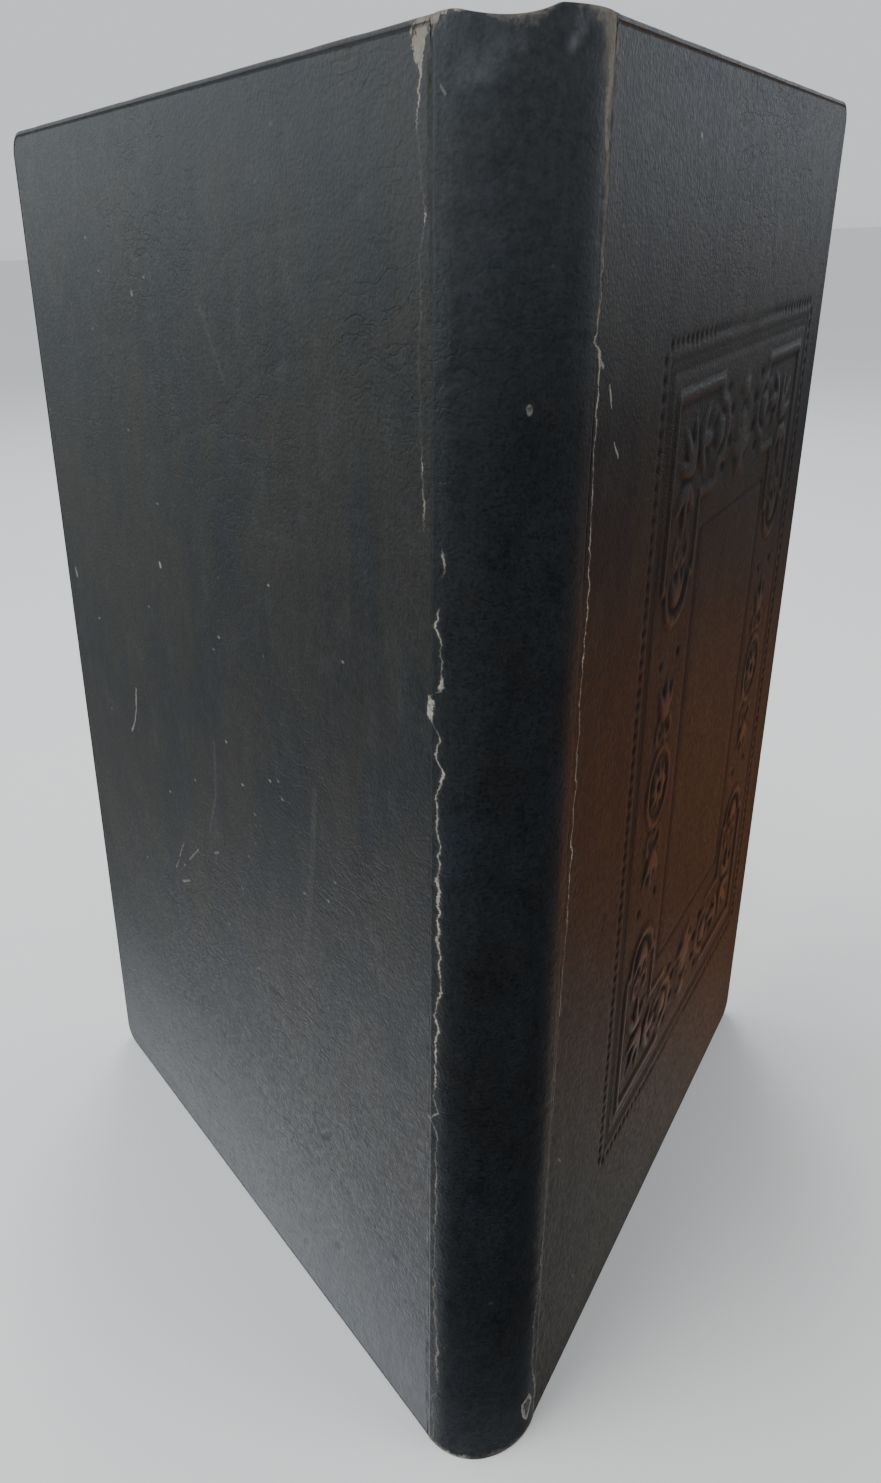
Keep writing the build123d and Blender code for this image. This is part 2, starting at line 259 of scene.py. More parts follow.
class Nodes:
    """Short ways to add nodes to a node tree."""

    def __init__(self, tree):
        self.tree = tree

    def wire(self, socket, value):
        if isinstance(value, Signal):
            self.tree.links.new(value.socket, socket)
        else:
            socket.default_value = value

    def out(self, kind, output, inputs=None, **settings):
        """One output of a new node, with its inputs by name or place."""
        node = self.tree.nodes.new("ShaderNode" + kind)
        for key, value in settings.items():
            setattr(node, key, value)
        for key, value in (inputs or {}).items():
            self.wire(node.inputs[key], value)
        return Signal(self, node.outputs[output])

    def math(self, operation, a, b=0.0, clamp=False):
        inputs = {0: a, 1: b}
        return self.out("Math", 0, inputs, operation=operation, use_clamp=clamp)

    def vector(self, operation, *inputs, scale=None):
        inputs = dict(enumerate(inputs))
        if scale is not None:
            inputs["Scale"] = scale
        output = "Value" if operation in ("DOT_PRODUCT", "DISTANCE") else "Vector"
        return self.out("VectorMath", output, inputs, operation=operation)


class Shader(Nodes):
    """A material with a Principled shader. Sizes, widths and depths are in mm."""

    def __init__(self, name):
        self.material = bpy.data.materials.new(name)
        self.material.use_nodes = True
        super().__init__(self.material.node_tree)
        self.fine = self.out("TexCoord", "Object")

    def noise(self, place, size, detail, roughness, output="Fac"):
        scale = 1 / (size * MM)
        inputs = {"Vector": place, "Scale": scale, "Detail": detail, "Roughness": roughness}
        return self.out("TexNoise", output, inputs)

    def cells(self, place, size):
        inputs = {"Vector": place, "Scale": 1 / (size * MM)}
        return self.out("TexVoronoi", "Distance", inputs)

    def stretch(self, place, *factors):
        return self.vector("MULTIPLY", place, factors)

    def warp(self, place, size, amount):
        """Move a place about by noise, for lines that wander."""
        centred = self.vector("SUBTRACT", self.noise(place, size, 2.0, 0.5, "Color"), (0.5,) * 3)
        return self.vector("ADD", place, self.vector("SCALE", centred, scale=amount * MM))

    def mix(self, factor, a, b):
        """A colour from a at factor 0 to b at factor 1."""
        a, b = (color if isinstance(color, Signal) else (*color, 1) for color in (a, b))
        return self.out("Mix", 2, {"Factor": factor, 6: a, 7: b}, data_type="RGBA")

    def mix_value(self, factor, a, b):
        return self.out("Mix", 0, {"Factor": factor, 2: a, 3: b}, data_type="FLOAT")

    def field(self, name):
        """A named value of the mesh's points."""
        return self.out("Attribute", "Fac", attribute_name=name)

    def surface(self):
        """Surface coordinates in metres."""
        return self.out("UVMap", "UV", uv_map="surface")

    def part(self, vector, axis):
        return self.out("SeparateXYZ", axis, {0: vector})

    def stroke(self, place, points, width):
        """1 on a line through the points, fading out over its half width."""
        points = np.reshape(points, (-1, 2)) * MM
        nearest = None
        for start, end in zip(points, points[1:]):
            run = (end[0] - start[0], end[1] - start[1], 0.0)
            offset = self.vector("SUBTRACT", place, (*start, 0.0))
            along = self.vector("DOT_PRODUCT", offset, run)
            along = self.math("DIVIDE", along, run[0] ** 2 + run[1] ** 2, clamp=True)
            distance = self.vector("DISTANCE", offset, self.vector("SCALE", run, scale=along))
            nearest = nearest.least(distance) if nearest else distance
        return nearest.band(width * MM * 0.25, width * MM * 0.5, 1, 0)

    def bumps(self, *layers):
        """A normal from layers of height, strength and depth."""
        normal = None
        for height, strength, depth in layers:
            inputs = {"Height": height, "Strength": strength, "Distance": depth * MM}
            if normal:
                inputs["Normal"] = normal
            normal = self.out("Bump", "Normal", inputs)
        return normal

    def finish(self, color, roughness, normal=None, specular=0.5):
        inputs = self.tree.nodes["Principled BSDF"].inputs
        self.wire(inputs["Base Color"], color)
        self.wire(inputs["Roughness"], roughness)
        if normal:
            self.wire(inputs["Normal"], normal)
        inputs["Specular IOR Level"].default_value = specular
        return self.material


# Leather: near black, finely grained, with creases, cracks, rubbed edges and chips

BLACK = (0.0038, 0.0056, 0.0082)
# Spine leather, navy and dull: paler than the boards' leather as painted sheen
NAVY = (0.0105, 0.0145, 0.0185)
BROWN = (0.0125, 0.0108, 0.0072)
DULL = (0.009, 0.0103, 0.0117)
# Pale bloom, also used as the painted highlight on the raised tooling
BLOOM_AND_HIGHLIGHT = (0.023, 0.0235, 0.0255)
# Pale grey of painted sheen, with some dust, spread by the dust field
SHEEN_AND_DUST = (0.075, 0.081, 0.088)
SUEDE = (0.13, 0.107, 0.081)
PALE_SUEDE = (0.33, 0.31, 0.272)
# Near black for dirt and pores, and for the painted shade in hollows and creases
DIRT_AND_SHADE = (0.0016, 0.0015, 0.0016)


def leather(name, strokes, tone, patch_seed=0.0, dark=BLACK, warm=BROWN):
    """Leather in surface coordinates, with the wear, dust and painted sheen that the mesh's fields
    give, and painted shade and highlight on its relief.
    """
    sh = Shader(name)
    place = sh.surface()
    moved = sh.vector("ADD", sh.fine, (patch_seed, 0, 0))
    patches = sh.noise(sh.stretch(moved, 1, 1, 0.55), 28, 6, 0.7)
    scurf = sh.noise(sh.stretch(moved, 1, 1, 0.5), 7.5, 6, 0.75)
    mottle = sh.noise(sh.fine, 1.8, 5, 0.72)
    grain = sh.cells(sh.warp(sh.fine, 4, 1.6), 1)
    pores = sh.noise(sh.fine, 0.7, 3, 0.65)
    folds = sh.noise(sh.stretch(place, 0.4, 1, 1), 1.8, 4, 0.65)
    ridges = sh.stretch(sh.warp(place, 20, 12), 0.35, 1, 1)
    ridges = sh.noise(ridges, 6.5, 3, 0.6)
    creased = sh.noise(sh.fine, 50, 2, 0.5).band(0.45, 0.62)
    crease = abs(ridges - 0.5).band(0, 0.035, 1, 0) * creased

    # Colour: brown black to blue black, paler on the high spots as wear and painted highlight, dark
    # in the hollows and creases as painted shade, and dark in the cracks
    color = sh.mix(patches.band(0.38, 0.6), dark, warm)
    color = sh.mix(scurf.band(0.48, 0.74) * tone, color, BLOOM_AND_HIGHLIGHT)
    color = sh.mix(scurf.band(0.48, 0.3, 0, 0.6), color, DIRT_AND_SHADE)
    color = sh.mix(mottle.band(0.42, 0.72) * tone, color, BLOOM_AND_HIGHLIGHT)
    color = sh.mix(pores.band(0.52, 0.36, 0, 0.55), color, DIRT_AND_SHADE)
    relief, hollow = sh.field("relief"), sh.field("hollow")
    sunk = relief.band(-0.1, -0.6).most(hollow.band(0.1, 0.5))
    raised = relief.band(0.3, 0.9).most(hollow.band(-0.12, -0.5)) * (1.0 - sunk)
    # Paler on the raised tooling: wear, and a painted highlight
    color = sh.mix(raised * 0.3, color, BLOOM_AND_HIGHLIGHT)
    # Painted sheen with some dust: paler where the dust field is high, towards the tail and head
    color = sh.mix(sh.field("dust") * mottle.band(0.3, 0.66, 0.55, 1.15), color, SHEEN_AND_DUST)
    crack = (sh.field("crack") + mottle * 0.5).band(0.42, 0.9) * 0.6
    # Painted shade in the sunk tooling and the creases, with the dark cracks
    low = sunk.most(crack).most(crease * 0.14)
    color = sh.mix(low * 0.8, color, DIRT_AND_SHADE)

    # Rubbed edges, scuffs and the cracked joints, down to the suede
    rub_noise = (sh.noise(sh.fine, 3, 5, 0.72) - 0.5) * 1.7
    rubbed = (sh.field("rub") + rub_noise).band(0.35, 1)
    ragged = sh.noise(sh.stretch(sh.fine, 1, 1, 0.6), 1.8, 4, 0.7)
    zigzag = sh.noise(sh.stretch(sh.fine, 0.3, 0.3, 1), 2.6, 5, 0.8) - 0.5
    aside = abs(sh.field("joint") + zigzag * 3.0)
    into = sh.field("open") * (ragged * 2.8 - 0.8) - aside
    torn, fresh = sh.field("torn"), sh.field("fresh")
    bare = into.band(-0.1, 0.12) * (torn * mottle.band(0.3, 0.48, 0.45, 1))
    color = sh.mix(into.band(-0.9, 0.1) * torn * 0.16, color, SUEDE)
    color = sh.mix(rubbed * 0.65, color, sh.mix(fresh, SUEDE, PALE_SUEDE))
    suede = sh.mix(fresh * pores.band(0.3, 0.6, 0.55, 1), SUEDE, PALE_SUEDE)
    color = sh.mix(bare, color, suede)

    # Small nicks, and the strokes of the scratches and of a painted highlight
    nicks = (sh.field("nicks") + sh.noise(sh.fine, 12, 2, 0.5)).band(0.95, 1.1)
    nick = sh.cells(sh.stretch(place, 0.5, 1, 1), 6.5).band(0.035, 0.085, 1, 0)
    pale = nick * nicks * 0.4
    wandering = sh.warp(place, 4, 1.3)
    for width, strength, *points in strokes:
        pale = pale.most(sh.stroke(wandering, points, width) * strength)
    pale = pale * sh.noise(sh.fine, 1.1, 3, 0.6).band(0.34, 0.5, 0.35, 1)
    color = sh.mix(pale, color, PALE_SUEDE)

    # Gloss and relief
    shine = sh.mix_value(mottle.band(0.35, 0.7), 0.40, 0.54)
    shine = sh.mix_value(raised, shine, 0.36)
    shine = sh.mix_value(low, shine, 0.64)
    shine = sh.mix_value(bare.most(rubbed).most(pale), shine, 0.88)
    normal = sh.bumps(
        (crease * -1.0, 0.4, 0.12),
        (folds, 0.35, 0.14),
        (grain, 0.4, 0.16),
        (pores, 0.5, 0.14),
        (bare * -1.0, 0.9, 0.3),
    )
    return sh.finish(color, shine, normal, 0.22)


def cover_points(u_steps, v_steps, width):
    """Grid on the face of a cover, its square corners drawn round at the fore edge."""
    u, v = np.meshgrid(u_steps, v_steps)
    du, dv = beyond_corner(u, v, width)
    inside = (du > 0) & (dv > 0)
    scale = np.where(inside, np.maximum(du, dv) / np.where(inside, np.hypot(du, dv), 1), 1)
    u = np.where(inside, width - CORNER_RADIUS + du * scale, u)
    v = np.where(inside, np.sign(v) * (HEIGHT / 2 - CORNER_RADIUS + dv * scale), v)
    return u, v


def beyond_corner(u, v, width):
    """How far points lie past the middle of a corner's round, along width and height."""
    du = np.maximum(u - (width - CORNER_RADIUS), 0)
    return du, np.maximum(np.abs(v) - (HEIGHT / 2 - CORNER_RADIUS), 0)


def relief_from(node, cover, u, v):
    """How far the tooled solid stands above or below the face, under each grid point."""
    solid = frame["nodes"][node].data
    tree = BVHTree.FromPolygons(
        [vertex.co for vertex in solid.vertices],
        [tuple(polygon.vertices) for polygon in solid.polygons],
    )
    height = np.zeros(u.shape)
    within = (u > PANEL_U[0]) & (u < PANEL_U[1]) & (v > PANEL_V[0]) & (v < PANEL_V[1])
    above = 2 * MM
    down = Vector(-cover.w)
    found = []
    for point in cover.place(u[within], v[within], above):
        place, _, _, distance = tree.ray_cast(Vector(point), down, 2 * above)
        found.append(0.0 if place is None else above - distance)
    height[within] = found
    return blurred(height, 2, 2)


def cover_leather(cover, u_steps, v_steps, material, relief_node=None):
    """The leather of one cover: face, drawn edges and the turned-in border inside."""
    width, half = cover.width, HEIGHT / 2
    u, v = cover_points(u_steps, v_steps, width)
    relief = relief_from(relief_node, cover, u, v) if relief_node else np.zeros(u.shape)
    seed = 11 if cover.side > 0 else 29
    swell = 0.10 * MM * lattice(u, v, 38 * MM, 46 * MM, seed)
    swell += 0.045 * MM * lattice(u, v, 11 * MM, 17 * MM, seed + 1)
    swell += 0.014 * MM * lattice(u, v, 3.1 * MM, 4.3 * MM, seed + 2)
    inward = smooth(np.minimum(width - u, half - np.abs(v)), EDGE_ROUND, 9 * MM)
    crack = marks(u, v + half, CRACKS[cover.name])
    fold = marks(u, v + half, CREASES[cover.name])
    w = relief * TOOLING_GAIN + (swell - FACE_SINK) * inward - CRACK_DEPTH * (crack + fold)
    points = [cover.place(u, v, w).reshape(-1, 3)]
    surface = [np.stack([u, v + half], -1).reshape(-1, 2)]
    index = numbered(*u.shape)
    faces = quads(index, cover.side < 0)

    # Border of the face, from the joint along the head, the fore edge and the tail, with
    # the way out of the face and the worn dents at each of its points
    border = np.concatenate([index[-1], index[-2::-1, -1], index[0, -2::-1]])
    bu, bv = u.ravel()[border], v.ravel()[border]
    du, dv = beyond_corner(bu, bv, width)
    nu, nv = du / np.hypot(du, dv), dv * np.sign(bv) / np.hypot(du, dv)
    along = np.cumsum(np.hypot(np.diff(bu, prepend=bu[0]), np.diff(bv, prepend=bv[0])))
    worn = 0.07 * MM * (lattice(along, 0 * along, 7 * MM, 1, seed + 3) - 0.4)
    worn = np.minimum(worn, 0)

    # Rings round the edge of the board, as steps out and down, then in over the board
    rings = []
    for angle in np.radians((18, 36, 54, 72, 90)):
        rings.append((EDGE_ROUND * math.sin(angle), -EDGE_ROUND * (1 - math.cos(angle))))
    rings += [
        (EDGE_ROUND, -COVER_THICK * 0.55),
        (EDGE_ROUND, -(COVER_THICK - EDGE_BEVEL)),
        (EDGE_ROUND - EDGE_BEVEL * 0.3, -(COVER_THICK - EDGE_BEVEL * 0.3)),
        (EDGE_ROUND - EDGE_BEVEL, -COVER_THICK),
    ]
    for out, depth in rings:
        shift = out + worn * min(1, out / EDGE_ROUND)
        points.append(cover.place(bu + nu * shift, bv + nv * shift, depth))
        round_edge = out - depth
        surface.append(np.stack([bu + nu * round_edge, bv + half + nv * round_edge], -1))
    start = EDGE_ROUND - EDGE_BEVEL
    inner_u = np.minimum(bu, width - TURN_IN)
    inner_v = np.clip(bv, -(half - TURN_IN), half - TURN_IN)
    turned = ((0.33, 0), (0.66, 0), (1.0, 0), (1.0, PARED))
    for share, lift in turned:
        ring_u = (bu + nu * start) * (1 - share) + inner_u * share
        ring_v = (bv + nv * start) * (1 - share) + inner_v * share
        points.append(cover.place(ring_u, ring_v, lift - COVER_THICK))
        surface.append(np.stack([ring_u, ring_v + half], -1))
    added = numbered(len(rings) + len(turned), len(border), index.size)
    faces += quads(np.vstack([border, added]), cover.side > 0)

    points, surface = np.concatenate(points), np.concatenate(surface)
    across, up, out = cover.local(points).T
    from_side, from_end = width - across, half - np.abs(up)
    rub = 0.4 - 0.4 * smooth(np.minimum(from_side, from_end), 0.0, 2.6 * MM)
    rub += 0.3 * (1 - smooth(np.hypot(from_side, from_end), 3 * MM, 14 * MM))
    rub = np.where(out < -1.5 * EDGE_ROUND, rub - 0.2, rub)
    levels = up + half

    def face_only(values):
        return np.concatenate([values.ravel(), np.zeros(added.size)])

    fields = {
        "relief": face_only(relief) / (0.32 * MM),
        "hollow": face_only(blurred(relief, 1, 5) - relief) / (0.16 * MM),
        "crack": face_only(crack),
        "rub": rub,
        **tear(cover, (across - HINGE_GAP) / MM, levels),
        # Painted sheen with some dust, by height
        "dust": np.interp(levels / MM, *SHEEN_AND_DUST_BY_HEIGHT[cover.name]),
        "nicks": np.interp(levels / MM, *NICKS[cover.name]) * smooth(across, 12 * MM, 40 * MM),
    }
    return build(f"{cover.name}_cover_leather", points, faces, material, surface, fields)


# Wear, in mm. The torn line beside each joint, four numbers to a point: height, place from
# the joint onto the cover, half width, strength
TEARS = {
    "back": (
        0, -1, 0.5, 0.6, 8, -1.5, 0.4, 0.4, 18, -1, 0.4, 0.5, 23, -3.2, 0.25, 0.1,
        28, -3.2, 0.45, 0.5, 33, -2.7, 0.8, 0.8, 38, -3.1, 0.5, 0.8, 46, -2.6, 0.4, 0.7,
        51, -1.7, 0.4, 0.7, 66, -1.4, 0.35, 0.3, 76, -2.4, 0.3, 0.3, 80, -1.1, 0.3, 0.2,
        85, -2.4, 0.4, 0.5, 97, -2.3, 0.35, 0.8, 104, -2.2, 0.3, 0.3, 112, -2.6, 0.3, 0.4,
        116, -0.3, 0.4, 0.5, 119, -2.5, 0.4, 0.8, 123, -0.9, 0.3, 0.3, 128, -1.7, 0.4, 0.8,
        136, -2, 0.45, 1, 140, -1.6, 0.45, 1, 144, -2.4, 0.5, 1, 147, -1.6, 0.35, 0.9,
        154, -3.4, 0.4, 1, 160, -2.2, 0.5, 0.9, 164, -3.3, 0.45, 1, 167, -1.8, 0.7, 0.8,
        171, -2.8, 0.6, 1, 177, -2.5, 0.7, 1, 182, -2.1, 0.7, 1, 185, -2.4, 0.4, 0.6,
        191, -2.7, 0.35, 1, 197, -1.6, 0.35, 0.7, 202, -1.6, 0.4, 1, 205.5, -3, 0.4, 1,
        208.5, -2.9, 0.4, 1, 211, -1.6, 0.4, 0.9, 216, -2.2, 0.35, 0.8, 218, -1, 0.2, 0.2,
        219.5, 0, 0.7, 0.8, 221, 0, 1.1, 1, 223.5, 0, 1.1, 1, 224.5, 0, 0.2, 0, 225.5, -2.8, 0.2, 0,
        226.5, -2.8, 0.8, 1, 228.5, -3.1, 0.5, 0.7, 230, -2.8, 0.3, 0.2, 232, -2.6, 0.4, 0.6,
        235, -2.4, 0.2, 0.2, 236.5, -2.4, 0.3, 0.8, 239, -1.7, 0.45, 1, 241, -2.2, 0.35, 0.7,
        243, -2.2, 0.2, 0, 249, -3.2, 0.2, 0, 251, -3.2, 0.5, 0.5, 253, -2.8, 0.45, 0.5,
        255, -2.6, 0.2, 0, 256, 1.3, 0.2, 0, 262, 1.9, 0.4, 0.5, 266, 1.9, 0.2, 0.1,
        268.6, 1.9, 0.35, 0.7, 271, 2.4, 0.2, 0.1, 286, 3.3, 0.2, 0.1, 305, 2.5, 0.25, 0.15,
        309, 2, 0.3, 0.1, 310.4, 1.5, 0.3, 0.9, 312, 1.6, 0.3, 0.15, 320, 3.1, 0.2, 0.1,
        324, 3.7, 0.3, 0.1, 326.4, 3.6, 0.3, 0.9, 331.4, 2.8, 0.35, 0.9, 332.6, 2.9, 0.4, 0.6,
        333.6, 3, 1.6, 0.8, 335, 3, 2.1, 0.85, 337.5, 2.2, 3.6, 0.85, 340, 1.6, 4.6, 0.85,
    ),
    "front": (
        0, -0.3, 0.4, 0.6, 8, -0.3, 0.4, 0.8, 13, -0.1, 0.4, 0.8, 17.6, -0.7, 0.4, 1,
        20, -1.8, 0.3, 0.7, 27, -3.1, 0.3, 0.5, 46, -3, 0.3, 0.5, 50, -2.1, 0.35, 0.4,
        55, -1.2, 0.35, 0.55, 68, -0.6, 0.35, 0.7, 72, -1.1, 0.3, 0.3, 76, -0.2, 0.3, 0.5,
        88, 0.3, 0.25, 0.2, 104, 0.4, 0.25, 0.3, 116, 1, 0.3, 0.7, 123, 0.7, 0.3, 0.4,
        144, 1.7, 0.3, 0.7, 154, 2.2, 0.3, 0.4, 170, 3.1, 0.35, 0.75, 174, 2.6, 0.35, 0.7,
        177, 2.8, 0.5, 1, 183, 3.1, 0.35, 0.9, 186, 1.6, 0.45, 1, 189, 2.8, 0.3, 0.6,
        200, 2.8, 0.35, 0.9, 206, 2.5, 0.35, 0.5, 211, 2.8, 0.4, 1, 217, 2.6, 0.3, 0.6,
        220, 2.1, 0.4, 1, 225, 2.4, 0.3, 0.4, 228, 2.6, 0.4, 1, 235, 3, 0.4, 1, 240, 2.8, 0.4, 1,
        242.4, 3.5, 0.4, 1, 245, 2.5, 0.35, 0.9, 254, 2, 0.4, 1, 257, 2.1, 0.25, 0.3,
        262, 1.9, 0.4, 1, 266, 1.6, 0.35, 0.8, 270, 0.8, 0.35, 0.8, 273, 1.5, 0.35, 0.9,
        279, 1.4, 0.5, 1, 285, 1.3, 0.5, 1, 287.4, 1.5, 0.8, 1, 289.4, -1.4, 0.9, 0.9,
        291.4, -0.3, 0.6, 0.8, 295.4, -0.1, 0.5, 1, 299, 0.2, 0.4, 0.5, 303, 0, 0.5, 0.8,
        308, 0.5, 0.4, 0.3, 312, 0.2, 0.6, 0.7, 318, 0.3, 0.8, 0.3, 320, -0.8, 1.1, 0.5,
        324, -2, 1.2, 0.6, 329, -1.5, 1.5, 0.5, 331, -0.6, 1.8, 0.45, 334, -0.4, 2.2, 0.5,
        340, -0.6, 2.6, 0.5,
    ),
}
# How pale the torn leather is, by height
FRESH = {
    "front": ((0, 20, 260, 284, 296, 340), (0.5, 0.55, 0.7, 0.6, 0.22, 0.3)),
    "back": ((0, 50, 120, 230, 300, 330, 340), (0.35, 0.4, 0.7, 0.9, 1, 0.9, 0.35)),
}
# Painted sheen, with some dust, that pales the leather, by height
SHEEN_AND_DUST_BY_HEIGHT = {
    "back": ((0, 22, 70, 290, 340), (0.75, 0.45, 0, 0, 0.3)),
    "front": ((0, 270, 310, 340), (0, 0, 0.25, 0.4)),
    "spine": ((0, 8, 26, 60, 270, 315, 340), (0.36, 0.26, 0.1, 0, 0, 0.2, 0.3)),
}
# Density of small pale nicks, by height
NICKS = {
    "back": ((0, 90, 140, 175, 210, 260, 340), (0.44, 0.48, 0.6, 0.7, 0.6, 0.48, 0.38)),
    "front": ((0, 340), (0.36, 0.36)),
}
# Cracks and creases as width, strength, and places across and up from the tail in turn
CRACKS = {
    "back": (
        (2.6, 0.5, 96, 60, 80, 56.7, 60, 57.8, 40, 60, 28, 56.7, 6, 55.5),
        (2.2, 0.45, 17, 77, 26, 57), (2.2, 0.35, 40, 68, 41, 47), (2.2, 0.35, 59, 105, 55, 94),
        (2.8, 0.45, 146, 36, 128, 40, 112, 44), (2.4, 0.4, 42, 108, 33, 101, 10, 94),
        (2.2, 0.3, 58, 115, 32, 118), (2.2, 0.35, 85, 38, 83, 22), (2.2, 0.35, 131, 27, 134, 9),
        (2.2, 0.3, 107, 28, 103, 12), (2.4, 0.3, 168, 58, 171, 24), (7, 0.45, 78, 107.5, 69, 108),
        (7, 0.5, 79, 71, 77, 70), (6, 0.55, 52, 69, 48, 72), (7, 0.45, 115, 64, 114, 65),
        (7, 0.5, 147, 62, 143, 63), (8, 0.5, 187, 14, 184, 17), (8, 0.45, 66, 14, 64, 16),
        (7, 0.45, 48, 30, 44, 34),
    ),
    "front": (
        (2.4, 0.8, 31.7, 152, 30, 146, 28.3, 140), (3.2, 0.35, 106, 310.5, 150, 310, 204, 309.4),
    ),
    "spine": (
        (1.8, 0.55, 2, 319.5, 6, 317.6, 10.3, 316, 14.1, 317.2, 18, 319.2),
        (1.4, 0.4, 10.3, 315.5, 11.2, 307, 12.1, 297.5, 13, 287),
    ),
}
CREASES = {
    "back": (
        (4, 0.8, 80, 304, 67, 308, 49, 310.5, 26, 313, 15, 317),
        (4.5, 1, 118, 259, 108, 263, 87, 268.5, 69, 279, 55, 283.5, 40, 285),
        (4, 0.8, 78, 261, 60, 259.5, 42, 258.4, 22, 256.5, 3, 255),
        (3.5, 0.7, 55, 302, 40, 300, 27, 300, 24, 305),
        (4, 0.6, 139, 197, 110, 199, 85, 203, 73, 204), (3.5, 0.5, 115, 184, 90, 180, 78, 182),
        (3.5, 0.6, 62, 190, 45, 187, 30, 188), (4, 0.8, 25, 252, 4, 245),
        (3.5, 0.6, 22, 246, 5, 238), (4, 0.5, 190, 280, 160, 285, 140, 284),
        (4, 0.5, 30, 160, 22, 150, 20, 135), (5, 0.5, 198, 40, 176, 34, 150, 22),
    ),
    "front": (
        (4, 0.7, 105, 328, 105, 311), (4, 0.5, 124, 322, 130, 308, 136, 292),
        (4, 0.5, 8, 190, 20, 184, 34, 186), (5, 0.5, 60, 40, 90, 34, 130, 36),
    ),
    "spine": (
        (2.4, 0.9, 1.7, 284, 6.4, 285.2, 11.7, 286.5),
        (2.2, 0.8, 2.1, 281.4, 8.3, 282.8, 13.4, 284.6),
        (2.2, 0.7, 20.4, 290, 26.8, 291, 31.1, 290.4), (2.2, 0.6, 3, 309, 7, 306, 11, 305),
        (2.4, 0.6, 5, 241, 14.7, 238.5, 22, 240), (2.4, 0.5, 6, 227, 14, 228.5, 24, 226),
        (2.4, 0.5, 5, 207, 12, 206, 20, 207.5), (5, 1, 5, 333, 16, 331.5, 30, 333.5),
    ),
}
# Soft pale smudges at the head of the spine
SMUDGES = ((7, 0.6, 8, 332, 15, 334.5), (4, 1, 24.5, 334.5, 28, 338))
# Pale scratches and nicks, in the same way, and on the front one painted highlight
SCRATCHES_AND_HIGHLIGHT = {
    "back": (
        (1.2, 0.4, 160.8, 175, 162.4, 167.8, 165.3, 162, 168.7, 157.6),
        (1.8, 0.6, 130.9, 223.6, 130.5, 222.8), (1.4, 0.4, 132, 296.6, 131.8, 296),
        (1.6, 0.06, 103.7, 176.8, 105.8, 158.7, 112.1, 144),
        (3.4, 0.035, 47.6, 183.6, 50.5, 161, 56.6, 128), (2.4, 0.03, 91.7, 293.6, 81.5, 277.7),
        (0.9, 0.3, 122.3, 132.6, 130.2, 125.1), (0.8, 0.35, 133.6, 129.7, 138.2, 122.9),
        (1.1, 0.35, 131.4, 116.8, 137.5, 113.8), (0.9, 0.35, 139.3, 120.6, 141.6, 116.8),
        (1, 0.35, 107.6, 138.3, 109.8, 137), (2, 0.4, 205.6, 206, 205, 203.6),
    ),
    "front": (
        (1.1, 0.45, 0.6, 287.4, 4, 284.7), (1.1, 0.5, 8.2, 280.6, 10.2, 277),
        (0.9, 0.5, 13.1, 269.7, 15.9, 266.3), (1.2, 0.6, 55.2, 324.9, 56.2, 324.4),
        (1, 0.35, 7.5, 90, 9.5, 87.2), (1.2, 0.35, 26.3, 29.4, 27.6, 27.6),
        # Painted highlight: a glint by the panel's right border, as a faint wide pale stroke
        (3, 0.1, 165.3, 170, 164.7, 158.6),
    ),
    "spine": (
        (1.6, 0.35, 18.8, 279.7, 18.9, 279.1),
        (1.5, 0.6, 29.5, 13.6, 33.2, 14, 34.6, 11, 32.3, 5.6, 30.4, 8.4, 29.5, 13.6),
        (4.2, 0.16, 31.6, 12, 32.6, 8), (0.7, 0.2, 1.9, 329.4, 2.9, 328.4),
    ),
}


def tear(cover, across, levels):
    """Fields of the torn line beside a joint, at a distance in mm from it onto the cover."""
    height, offset, half_width, strength = np.reshape(TEARS[cover.name], (-1, 4)).T
    levels = np.asarray(levels) / MM
    jitter = 0.45 * lattice(levels, 0 * levels, 2.4, 1, 71 + cover.side)
    return {
        "joint": across - np.interp(levels, height, offset) - jitter,
        "open": np.interp(levels, height, half_width),
        "torn": np.interp(levels, height, strength),
        "fresh": np.interp(levels, *FRESH[cover.name]),
    }


def marks(across, up, lines):
    """Strength from 0 to 1 of drawn lines that wander and fade a little."""
    x = across / MM + 1.3 * lattice(across, up, 6 * MM, 6 * MM, 201)
    y = up / MM + 1.3 * lattice(across, up, 6 * MM, 6 * MM, 202)
    fading = 0.8 + 0.3 * lattice(across, up, 5 * MM, 5 * MM, 203)
    total = np.zeros(np.shape(x))
    for width, strength, *points in lines:
        points = np.reshape(points, (-1, 2))
        for (x0, y0), (x1, y1) in zip(points, points[1:]):
            dx, dy = x1 - x0, y1 - y0
            t = np.clip(((x - x0) * dx + (y - y0) * dy) / (dx**2 + dy**2), 0, 1)
            distance = np.hypot(x - x0 - t * dx, y - y0 - t * dy)
            total = np.maximum(total, strength * (1 - smooth(distance, 0, width / 2)))
    return total * fading


front_u = steps(
    (HINGE_GAP, 0),
    (5 * MM, EDGE_STEP),
    (PANEL_U[0] - 0.5 * MM, 1.5 * MM),
    (PANEL_U[0] + CARTOUCHE, 0.68 * MM),
    (PANEL_U[1] - CARTOUCHE, 1.3 * MM),
    (PANEL_U[1] + 0.5 * MM, 0.68 * MM),
    (front.width - CORNER_RADIUS, 1.4 * MM),
    (front.width - EDGE_ROUND, EDGE_STEP),
)
end_v = HEIGHT / 2
front_v = steps(
    (EDGE_ROUND - end_v, 0),
    (CORNER_RADIUS - end_v, EDGE_STEP),
    (PANEL_V[0] - 0.5 * MM, 1.6 * MM),
    (PANEL_V[1] + 0.5 * MM, 0.75 * MM),
    (end_v - CORNER_RADIUS, 1.6 * MM),
    (end_v - EDGE_ROUND, EDGE_STEP),
)
